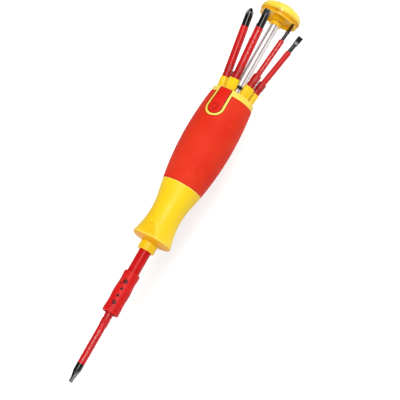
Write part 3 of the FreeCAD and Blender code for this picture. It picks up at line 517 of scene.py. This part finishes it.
# Handle: yellow nose, red soft grip, pale collar, red button

handleLook = {
    "paintedRimHighlight": linear(255, 232, 120),     # painted highlight on the nose, along the guard's rim and along its seam with the grip
    "paintedFrontShade": linear(232, 156, 2),      # painted shade on the guard's front face
    "paintedFlatShade": linear(252, 206, 10),     # painted shade on the two flats on the guard
    "paintedCreaseShade": linear(222, 164, 10),      # painted shade along their edges
    "flatAt": 12.7,                        # from the axis, in mm
    "flatEnd": 14.5,
    "frameColor": linear(250, 222, 96),    # of the frame round the button
    "paintedRecessShade": linear(120, 22, 4),      # painted shade on the grip and the button beside the frame, and in the button's dimple and ring
    "grooveWidth": 0.3,
    "seamDark": linear(190, 18, 8),        # of the grip, where it meets the nose
    "seamWidth": 0.35,
    "frontX": 0.7,                         # middle of the guard's front face and its edge
    "frontReach": 0.8,
    "rimX": 2.5,
    "rimFade": 0.8,
    "frameStart": (10.0, 12.0),            # behind the seam, where the frame's paler colour fades in
    "dimpleX": 104.8,
    "dimpleRadius": 2.6,
    "ringRadius": 1.8,                     # of the small ring in the dimple
    # shares of each mark that show
    "seamHighlightOnNose": 0.6, "creaseShadeShare": 0.6, "rimHighlightShare": 0.35, "frontShadeShare": 0.85,
    "seamOnGrip": 0.7, "gripGroove": 0.9, "buttonGroove": 0.85, "dimpleShare": 0.3, "ringShare": 0.35,
}
yellowNylon = {
    "color": linear(252, 212, 22), "deep": linear(249, 202, 10), "scuff": linear(255, 226, 104),
    "grainScale": 2600.0, "waveScale": 40.0, "marks": 0.12, "rough": 0.4,
    "bump": 0.12, "bumpDepth": 0.00008, "gloss": 0.35,
}
collarNylon = dict(yellowNylon, color=linear(250, 226, 98), deep=linear(247, 218, 80))
redRubber = {
    "color": linear(230, 60, 34), "deep": linear(222, 44, 20), "scuff": linear(244, 90, 62),
    "grainScale": 3400.0, "waveScale": 60.0, "marks": 0.1, "rough": 0.58, "streak": (12.0, 900.0, 900.0),
    "bump": 0.25, "bumpDepth": 0.0001, "gloss": 0.12,
}
redButton = dict(redRubber, color=linear(230, 38, 20), deep=linear(220, 26, 12),
                 rough=0.4, bump=0.1, gloss=0.22)
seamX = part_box("soft_grip")[0].x


def share(tree, mask, amount):
    return addMath(tree, "MULTIPLY", mask, amount)


def paintNose(tree, place, color):
    look = handleLook
    split = splitPlace(tree, place)
    alongX, height = split["X"], addMath(tree, "ABSOLUTE", split["Z"])
    width = look["seamWidth"] * mm
    seam = addBand(tree, alongX, seamX, width, width)
    # painted highlight on the nose along its seam with the grip
    color = addMix(tree, share(tree, seam, look["seamHighlightOnNose"]), color, look["paintedRimHighlight"])
    # painted shade on the guard's two flats and along their edges
    onGuard = addRange(tree, alongX, look["flatEnd"] * mm, (look["flatEnd"] + 0.1) * mm, 1.0, 0.0)
    flat = addRange(tree, height, (look["flatAt"] - 0.02) * mm, (look["flatAt"] - 0.01) * mm, 0.0, 1.0)
    edge = addBand(tree, height, (look["flatAt"] - 0.1) * mm, 0.05 * mm, 0.1 * mm)
    color = addMix(tree, addMath(tree, "MULTIPLY", onGuard, flat), color, look["paintedFlatShade"])
    line = addMath(tree, "MULTIPLY", onGuard, edge)
    color = addMix(tree, share(tree, line, look["creaseShadeShare"]), color, look["paintedCreaseShade"])
    # painted highlight along the guard's rim
    rim = addBand(tree, alongX, look["rimX"] * mm, width, look["rimFade"] * mm)
    color = addMix(tree, share(tree, rim, look["rimHighlightShare"]), color, look["paintedRimHighlight"])
    # painted shade on the guard's front face
    front = addBand(tree, alongX, look["frontX"] * mm, look["frontReach"] * mm, 0.7 * mm)
    color = addMix(tree, share(tree, front, look["frontShadeShare"]), color, look["paintedFrontShade"])
    begins, ends = (seamX + value * mm for value in look["frameStart"])
    onFrame = addRange(tree, alongX, begins, ends, 0.0, 1.0)
    return addMix(tree, onFrame, color, look["frameColor"])


def paintGrip(tree, place, color):
    look = handleLook
    width = look["seamWidth"] * mm
    seam = addBand(tree, placeX(tree, place), seamX, width, 1.5 * width)
    color = addMix(tree, share(tree, seam, look["seamOnGrip"]), color, look["seamDark"])
    # painted shade on the grip beside the button's frame
    outline = placeGroup(tree, buttonGroup, place)["Distance"]
    groove = addBand(tree, outline, buttonShape["frameHalfWidth"] * mm, look["grooveWidth"] * mm, 0.25 * mm)
    return addMix(tree, share(tree, groove, look["gripGroove"]), color, look["paintedRecessShade"])


def paintButton(tree, place, color):
    look = handleLook
    outline = placeGroup(tree, buttonGroup, place)["Distance"]
    # painted shade on the button beside its frame, in its dimple and in its ring
    edge = addBand(tree, outline, buttonShape["halfWidth"] * mm, look["grooveWidth"] * mm, 0.3 * mm)
    color = addMix(tree, share(tree, edge, look["buttonGroove"]), color, look["paintedRecessShade"])
    offset = addVectorMath(tree, "SUBTRACT", place, (look["dimpleX"] * mm, 0, 0))[0]
    flattened = addVectorMath(tree, "MULTIPLY", offset, (1, 1, 0))[0]
    reach = addVectorMath(tree, "LENGTH", flattened)[1]
    dimple = addBand(tree, reach, look["dimpleRadius"] * mm, 0.1 * mm, 0.4 * mm)
    ring = addBand(tree, reach, look["ringRadius"] * mm, 0.2 * mm, 0.1 * mm)
    marks = addMath(tree, "MAXIMUM", share(tree, dimple, look["dimpleShare"]),
                    share(tree, ring, look["ringShare"]))
    return addMix(tree, marks, color, look["paintedRecessShade"])


# Cap: polished dome, with painted shade on its underside and painted shade lines at its mouth and the boss's
# foot

capLook = {
    # painted shade on the underside of the dome
    "under": linear(250, 184, 18),
    "dome": linear(255, 228, 84),
    "domeDeep": linear(253, 222, 72),
    "line": linear(178, 104, 2),       # painted shade line round the mouth of the cap, and at the foot of the boss inside it
    "lineWidth": 0.22,
    "bossFoot": 4.5,                   # of that second line below the rim, in mm
    "underShare": 0.8,
    "domeShadeShare": 0.35,                  # shares of that painted shade line that show on the dome and inside it
    "insertShadeShare": 0.7,
}
capNylon = dict(yellowNylon, color=capLook["dome"], deep=capLook["domeDeep"],
                rough=0.26, gloss=0.5, marks=0.03, bump=0.04)
capUnderNylon = dict(yellowNylon, color=linear(254, 206, 30), deep=linear(252, 196, 20), rough=0.36)
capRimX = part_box("cap_dome")[0].x


def paintCap(tree, place, color):
    alongX = placeX(tree, place)
    # painted shade on the dome's underside, and a painted shade line above its rim
    under = addRange(tree, alongX, capRimX, capRimX + 0.5 * mm, capLook["underShare"], 0.0)
    color = addMix(tree, under, color, capLook["under"])
    line = addBand(tree, alongX, capRimX + 0.9 * mm, capLook["lineWidth"] * mm, 0.3 * mm)
    return addMix(tree, share(tree, line, capLook["domeShadeShare"]), color, capLook["line"])


def paintCapInsert(tree, place, color):
    alongX = placeX(tree, place)
    # painted shade lines at the cap's mouth and at the foot of the boss
    for at in (capRimX, capRimX - capLook["bossFoot"] * mm):
        line = addBand(tree, alongX, at, capLook["lineWidth"] * mm, 0.3 * mm)
        color = addMix(tree, share(tree, line, capLook["insertShadeShare"]), color, capLook["line"])
    return color


# Shaft, lock sleeve and bits: red insulation, with painted shade at the drive end of a bit

redInsulation = {
    "color": linear(210, 16, 14), "deep": linear(196, 10, 10), "scuff": linear(226, 62, 54),
    "grainScale": 2200.0, "waveScale": 70.0, "marks": 0.12, "rough": 0.38,
    "bump": 0.12, "bumpDepth": 0.00008, "gloss": 0.22,
}
glossyInsulation = dict(redInsulation, rough=0.32, gloss=0.45)
redSleeve = dict(redInsulation, color=linear(218, 18, 14), deep=linear(204, 10, 8), rough=0.46, gloss=0.3)
sleeveLook = {
    "rearBand": 2.4,                   # length of the plain ring at the sleeve's rear end, in mm
    "ribs": (26.6, 28.6, 29.7),        # places of the fine ribs near its front, from the rear end
    "ribWidth": 0.3,
    "ribColor": linear(166, 8, 8),
    "ribShare": 0.4,
    "cornerAt": 10.5,                  # of the mould's L-shaped joint line, from the rear end
    "cornerLength": 1.9,               # of its leg along the sleeve
    "cornerWidth": 0.3,
    "cornerColor": linear(96, 4, 4),
    "cornerShare": 0.9,
}
bitLook = {
    "driveLength": 30.0,
    # painted shade at the drive end: deeper on the stored bits among the holders than on the working bit
    "storedDriveShade": linear(172, 8, 8),
    "workingDriveColor": linear(196, 26, 24),
    "edgeSteel": linear(205, 203, 203),
    "edgeReach": 0.92,                 # share of the blade's half width, past which its edges are worn bright
    "endLength": 0.5,                  # of the bright band at the very tip
    "crossLength": 6.0,                # from the tip back, where edges can be worn
    "length": 75.0,
}
darkSteel = {
    "color": linear(38, 35, 34), "deep": linear(20, 19, 19),
    "stretch": (300.0, 3500.0, 3500.0), "rough": 0.2, "bump": 0.1, "coat": 0.9,
}
bitRods = {}
for number in (1, 2, 3, 5, 6):
    hinge, slide = joints["fan_%d" % number], joints["bit_%d_slide" % number]
    bitRods["bit_%d" % number] = (Vector(hinge["pos_m"]), Vector(slide["axis"]).normalized())
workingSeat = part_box("working_bit_blade")[0].x + bitLook["length"] * mm
bitRods["working_bit"] = (Vector((workingSeat, 0, 0)), Vector((-1, 0, 0)))


def paintSleeve(tree, place, color):
    look = sleeveLook
    split = splitPlace(tree, place)
    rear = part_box("lock_sleeve")[1].x
    ribWidth = look["ribWidth"] * mm / 2
    for at in (look["rearBand"],) + look["ribs"]:
        rib = addBand(tree, split["X"], rear - at * mm, ribWidth, ribWidth)
        color = addMix(tree, share(tree, rib, look["ribShare"]), color, look["ribColor"])
    corner, length = rear - look["cornerAt"] * mm, look["cornerLength"] * mm
    width = look["cornerWidth"] * mm / 2
    roundLeg = addMath(tree, "MULTIPLY", addBand(tree, split["X"], corner, width, width),
                       addRange(tree, split["Y"], 0.0, width, 0.0, 1.0))
    alongLeg = addMath(tree, "MULTIPLY", addBand(tree, split["X"], corner + length / 2, length / 2, width),
                       addBand(tree, split["Y"], 0.0, width, width))
    front = addMath(tree, "GREATER_THAN", split["Z"], 0.0)
    line = addMath(tree, "MULTIPLY", addMath(tree, "MAXIMUM", roundLeg, alongLeg), front)
    return addMix(tree, share(tree, line, look["cornerShare"]), color, look["cornerColor"])


def startOfBit(name):
    # The drive end of the bit, on its axis
    start, axis = bitRods[name]
    spots = [v.co for v in frame["nodes"][name + "_blade"].data.vertices]
    return start + axis * min((spot - start).dot(axis) for spot in spots)


def widestReach(name, fromEnd):
    start, axis = bitRods[name]
    spots = [v.co - start for v in frame["nodes"][name + "_blade"].data.vertices]
    end = max(spot.dot(axis) for spot in spots)
    near = [spot for spot in spots if spot.dot(axis) > end - fromEnd]
    return max((spot - axis * spot.dot(axis)).length for spot in near)


def bitInsulation(name):
    def paintDriveEnd(tree, place, color):
        rod = placeGroup(tree, rodGroup, place, Start=startOfBit(name), Axis=bitRods[name][1])
        length = bitLook["driveLength"] * mm
        # painted shade over the drive end of the bit
        drive = addRange(tree, rod["Along"], length - 0.2 * mm, length + 0.2 * mm, 0.75, 0.0)
        shade = bitLook["workingDriveColor" if name == "working_bit" else "storedDriveShade"]
        return addMix(tree, drive, color, shade)
    return mouldedPlastic(name + "Insulation", glossyInsulation, paintDriveEnd)


def burnishedBlade(name):
    reach = widestReach(name, bitLook["crossLength"] * mm) * bitLook["edgeReach"]

    def paintWear(tree, place, color, tone):
        rod = placeGroup(tree, rodGroup, place, Start=startOfBit(name), Axis=bitRods[name][1])
        end = bitLook["length"] * mm
        tip = addRange(tree, rod["Along"], end - bitLook["crossLength"] * mm, end, 0.0, 1.0)
        edge = addRange(tree, rod["Reach"], reach, reach * 1.2, 0.0, 1.0)
        worn = addRange(tree, tone, 0.42, 0.6, 0.0, 1.0)
        edges = addMath(tree, "MULTIPLY", addMath(tree, "MULTIPLY", edge, tip), worn)
        last = addRange(tree, rod["Along"], end - bitLook["endLength"] * mm, end, 0.0, 0.8)
        return addMix(tree, addMath(tree, "MAXIMUM", edges, last), color, bitLook["edgeSteel"])
    return drawnSteel(name + "Burnished", darkSteel, paintWear)


# Other metal, rubber and the holders

holderNylon = dict(yellowNylon, color=linear(253, 214, 30), deep=linear(249, 204, 16), rough=0.34)
plainSteel = {
    "color": linear(196, 196, 198), "deep": linear(170, 170, 174),
    "stretch": (120.0, 4000.0, 4000.0), "rough": 0.3, "bump": 0.1,
}
# near-white base with little metal: a painted reflection of the white room on the polished tube
whiteReflectionSteel = {
    "color": linear(244, 243, 244), "deep": linear(234, 233, 235),
    "stretch": (20.0, 2500.0, 2500.0), "rough": 0.2, "bump": 0.0, "metallic": 0.08,
}
wireSteel = dict(plainSteel, stretch=(2500.0, 2500.0, 2500.0), rough=0.26)
tubeLook = {
    # each dark line: degrees round the tube from the button's side, and its width in mm
    "darkLines": ((42.0, 0.26), (-10.0, 0.36)),
    "darkLineColor": linear(92, 82, 80),
    "darkLineShare": 0.8,
}


def paintTube(tree, place, color, tone):
    split = splitPlace(tree, place)
    for turn, width in tubeLook["darkLines"]:
        # distance from a plane through the axis and the line, on the line's side of the tube
        angle = math.radians(turn)
        off = addMath(tree, "ADD", share(tree, split["Y"], math.cos(angle)),
                      share(tree, split["Z"], math.sin(angle)))
        seam = addBand(tree, off, 0.0, width * mm, width * mm)
        near = addRange(tree, split["Z"], 0.0, 0.0002, 0.0, tubeLook["darkLineShare"])
        color = addMix(tree, addMath(tree, "MULTIPLY", seam, near), color, tubeLook["darkLineColor"])
    return color


blackRubber = {
    "color": linear(30, 28, 28), "deep": linear(20, 19, 19), "scuff": linear(58, 56, 55),
    "grainScale": 3000.0, "waveScale": 120.0, "marks": 0.3, "rough": 0.6,
    "bump": 0.3, "bumpDepth": 0.00008, "gloss": 0.4,
}

finishes = {
    "handle_core": mouldedPlastic("noseNylon", yellowNylon, paintNose),
    "end_collar": mouldedPlastic("collarNylon", collarNylon),
    "soft_grip": mouldedPlastic("gripRubber", redRubber, paintGrip),
    "release_button": mouldedPlastic("buttonPlastic", redButton, paintButton),
    "cap_dome": mouldedPlastic("capNylon", capNylon, paintCap),
    "cap_insert": mouldedPlastic("capUnderNylon", capUnderNylon, paintCapInsert),
    "lock_sleeve": mouldedPlastic("sleeveNylon", redSleeve, paintSleeve),
    "shaft_insulation": mouldedPlastic("shaftInsulation", redInsulation),
    "lift_tube": drawnSteel("tubePaintedReflection", whiteReflectionSteel, paintTube),
    "tube_ring": mouldedPlastic("ringRubber", blackRubber),
}
for name in bitRods:
    finishes[name + "_insulation"] = bitInsulation(name)
    finishes[name + "_blade"] = burnishedBlade(name)
holderFinish = mouldedPlastic("holderNylon", holderNylon)
steelFinish = drawnSteel("groundSteel", plainSteel)
wireFinish = drawnSteel("springWire", wireSteel)


def finishFor(node):
    if node in finishes:
        return finishes[node]
    if node.startswith("bit_holder") or node in ("magazine_hub", "hub_clamp_plate", "tube_bush"):
        return holderFinish
    if node.endswith("_spring"):
        return wireFinish
    return steelFinish


for name, node in frame["nodes"].items():
    node.data.materials.clear()
    node.data.materials.append(finishFor(name))
print("finishes given to", len(frame["nodes"]), "nodes")


# Copies of the coil springs stand for them on their bodies; the springs shorten as their joints move, but
# these copies keep their length

# each spring: its joint, its direction, the end that it stays on, and the share of it that is left
springMoves = {
    "button_spring": ("button_rock", (0, 0, 1), 0, 0.55),
    "sleeve_spring": ("sleeve_slide", (1, 0, 0), 1, 0.42),
    "lift_spring": ("lift", (1, 0, 0), 1, 0.19),
}


def addLiveSpring(name):
    takeAlone(frame["nodes"][name])
    bpy.ops.object.duplicate()
    spring = bpy.context.object
    spring.name = name + "_live"
    bpy.ops.object.parent_clear(type="CLEAR_KEEP_TRANSFORM")
    del spring["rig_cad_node"]
    bpy.ops.object.mode_set(mode="EDIT")
    bpy.ops.mesh.select_all(action="SELECT")
    bpy.ops.mesh.remove_doubles(threshold=0.001 * mm)
    bpy.ops.object.mode_set(mode="OBJECT")
    bpy.ops.object.shade_smooth_by_angle(angle=math.radians(40))
    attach(spring, spring["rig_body"])
    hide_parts(name)
    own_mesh(spring)


for name in springMoves:
    addLiveSpring(name)


# Printed marks: thin sheets of ink laid on a round surface

inkLook = {
    "lift": 0.02,                      # of the ink above the surface, in mm
    "thickness": 0.03,
    "whiteInk": linear(228, 180, 174),
    "darkInk": linear(30, 12, 12),
}


def printInk(name, color):
    material, tree, shader, place = newFinish(name)
    worn = addNoise(tree, place, 1800.0, 5.0, 0.7)
    faded = tuple(c * 0.7 for c in color)
    shade = addMix(tree, addRange(tree, worn, 0.45, 0.65, 0.0, 1.0), color, faded)
    tree.links.new(shade, shader.inputs["Base Color"])
    tree.links.new(addRange(tree, worn, 0.3, 0.7, 0.4, 0.6), shader.inputs["Roughness"])
    shader.inputs["Specular IOR Level"].default_value = 0.25
    return material


whiteInk = printInk("whiteInk", inkLook["whiteInk"])
darkInk = printInk("darkInk", inkLook["darkInk"])


def cutFine(step):
    # Cuts the sheet in edit mode along both its directions, so that it can follow a curve
    sheet = bpy.context.object
    spots = [v.co.copy() for v in sheet.data.vertices]
    bpy.ops.object.mode_set(mode="EDIT")
    for axis, normal in ((0, (1, 0, 0)), (1, (0, 1, 0))):
        low, high = min(s[axis] for s in spots), max(s[axis] for s in spots)
        count = max(1, math.ceil((high - low) / (step[axis] * mm)))
        for index in range(1, count):
            point = [0, 0, 0]
            point[axis] = low + (high - low) * index / count
            bpy.ops.mesh.select_all(action="SELECT")
            bpy.ops.mesh.bisect(plane_co=point, plane_no=normal)
    bpy.ops.mesh.select_all(action="SELECT")
    bpy.ops.mesh.quads_convert_to_tris()
    bpy.ops.object.mode_set(mode="OBJECT")


def wrapOn(sheet, node, start, axis, facing):
    # Lays the flat sheet on a round node: its x runs along the axis, its y goes round it
    carrier = frame["nodes"][node].data
    tree = BVHTree.FromPolygons([v.co for v in carrier.vertices], [p.vertices for p in carrier.polygons])
    facing = (facing - axis * facing.dot(axis)).normalized()
    sideways = axis.cross(facing)
    far = 20 * mm
    middle = start + axis * (sum(v.co.x for v in sheet.data.vertices) / len(sheet.data.vertices))
    radius = far - tree.ray_cast(middle + facing * far, -facing)[3]
    for vertex in sheet.data.vertices:
        turn = vertex.co.y / radius
        outward = facing * math.cos(turn) + sideways * math.sin(turn)
        origin = start + axis * vertex.co.x + outward * far
        hit = tree.ray_cast(origin, -outward)[0]
        vertex.co = hit + outward * (inkLook["lift"] * mm)


def finishPrint(sheet, body, ink, outward):
    thick = sheet.modifiers.new("thickness", "SOLIDIFY")
    thick.thickness = inkLook["thickness"] * mm
    thick.offset = 1
    bpy.ops.object.mode_set(mode="EDIT")
    bpy.ops.mesh.select_all(action="SELECT")
    bpy.ops.mesh.remove_doubles(threshold=0.001 * mm)
    bpy.ops.mesh.normals_make_consistent(inside=False)
    bpy.ops.object.mode_set(mode="OBJECT")
    normal = sum((p.normal * p.area for p in sheet.data.polygons), Vector())
    if normal.dot(outward) < 0:
        sheet.data.flip_normals()
    bpy.ops.object.modifier_apply(modifier=thick.name)
    sheet.data.materials.clear()
    sheet.data.materials.append(ink)
    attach(sheet, body)


bitPrint = {
    "height": 1.75,
    "widths": {
        "bit_1": "5.0", "bit_2": "2.5", "bit_3": "4.0", "bit_5": "3.0", "bit_6": "6.0", "working_bit": "5.5",
    },
    "repeats": 3,
    "cut": (2.0, 0.3),                 # largest piece of the sheet, along and round the bit
    "turns": {"bit_3": 110, "bit_5": 180, "bit_6": -110},     # round the bit, from the side that is seen
    "from": 34.0,                      # from the drive end to the first sign
    "run": 24.0,
}


def addBitPrint(name):
    bpy.ops.object.select_all(action="DESELECT")
    bpy.ops.object.text_add(location=(0, 0, 0))
    words = bpy.context.object
    width = bitPrint["widths"][name]
    words.data.body = "  ".join(["%s x 75" % width] * bitPrint["repeats"])
    words.data.size = bitPrint["height"] * mm
    words.data.align_y = "CENTER"
    bpy.ops.object.convert(target="MESH")
    words = bpy.context.object
    words.name = name + "_size_print"
    length = max(v.co.x for v in words.data.vertices)
    for vertex in words.data.vertices:
        vertex.co.x *= bitPrint["run"] * mm / length
    takeAlone(words)
    cutFine(bitPrint["cut"])
    axis = bitRods[name][1]
    start = startOfBit(name) + axis * (bitPrint["from"] * mm)
    turn = math.radians(bitPrint["turns"].get(name, 0))
    facing = Matrix.Rotation(turn, 3, axis) @ viewBack
    wrapOn(words, name + "_insulation", start, axis, facing)
    finishPrint(words, name, whiteInk, facing)


for name in bitRods:
    addBitPrint(name)
print("bits printed")


# Lock sleeve: two rings with a dot in each, two arrowheads between them and a short line past the last

sleevePrint = {
    "rings": (8.3, 24.6),              # places of the two rings, from the sleeve's rear end
    "ringRadius": 1.65,
    "ringBand": 0.85,
    "dotRadius": 0.5,
    "arrows": (13.9, 19.2),
    "arrowSize": 1.6,
    "tick": (27.8, 0.35, 2.6),         # place, length along the sleeve and width of the short line
    "cut": (0.5, 0.3),                 # largest piece of the sheet, along and round the sleeve
    "side": -12.0,                     # degrees round the sleeve from the side that is seen
}


def addDisc(place, radius, corners):
    bpy.ops.object.select_all(action="DESELECT")
    bpy.ops.mesh.primitive_circle_add(
        vertices=corners, radius=radius * mm, fill_type="NGON",
        location=(place * mm, 0, 0), rotation=(0, 0, math.radians(90)),
    )
    return bpy.context.object


def addRing(place):
    ring = addDisc(place, sleevePrint["ringRadius"], 32)
    bpy.ops.object.mode_set(mode="EDIT")
    bpy.ops.mesh.select_all(action="SELECT")
    bpy.ops.mesh.inset(thickness=sleevePrint["ringBand"] * mm)
    bpy.ops.mesh.delete(type="FACE")   # the inset leaves the middle selected
    bpy.ops.object.mode_set(mode="OBJECT")
    return ring


def addTick():
    place, length, width = sleevePrint["tick"]
    bpy.ops.object.select_all(action="DESELECT")
    bpy.ops.mesh.primitive_plane_add(size=1, location=(place * mm, 0, 0))
    tick = bpy.context.object
    tick.scale = (length * mm, width * mm, 1)
    return tick


def addSleevePrint():
    parts = [addRing(place) for place in sleevePrint["rings"]]
    parts += [addDisc(place, sleevePrint["dotRadius"], 12) for place in sleevePrint["rings"]]
    parts += [addDisc(place, sleevePrint["arrowSize"], 3) for place in sleevePrint["arrows"]]
    parts.append(addTick())
    bpy.ops.object.select_all(action="DESELECT")
    for part in parts:
        part.select_set(True)
    bpy.context.view_layer.objects.active = parts[0]
    bpy.ops.object.transform_apply(location=True, rotation=True, scale=True)
    bpy.ops.object.join()
    marks = bpy.context.object
    marks.name = "sleeve_marks"
    takeAlone(marks)
    cutFine(sleevePrint["cut"])
    start = Vector((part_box("lock_sleeve")[1].x, 0, 0))
    facing = Matrix.Rotation(math.radians(sleevePrint["side"]), 3, "X") @ viewBack
    wrapOn(marks, "lock_sleeve", start, Vector((-1, 0, 0)), facing)
    finishPrint(marks, "lock_sleeve", darkInk, facing)


addSleevePrint()
print("sleeve printed")
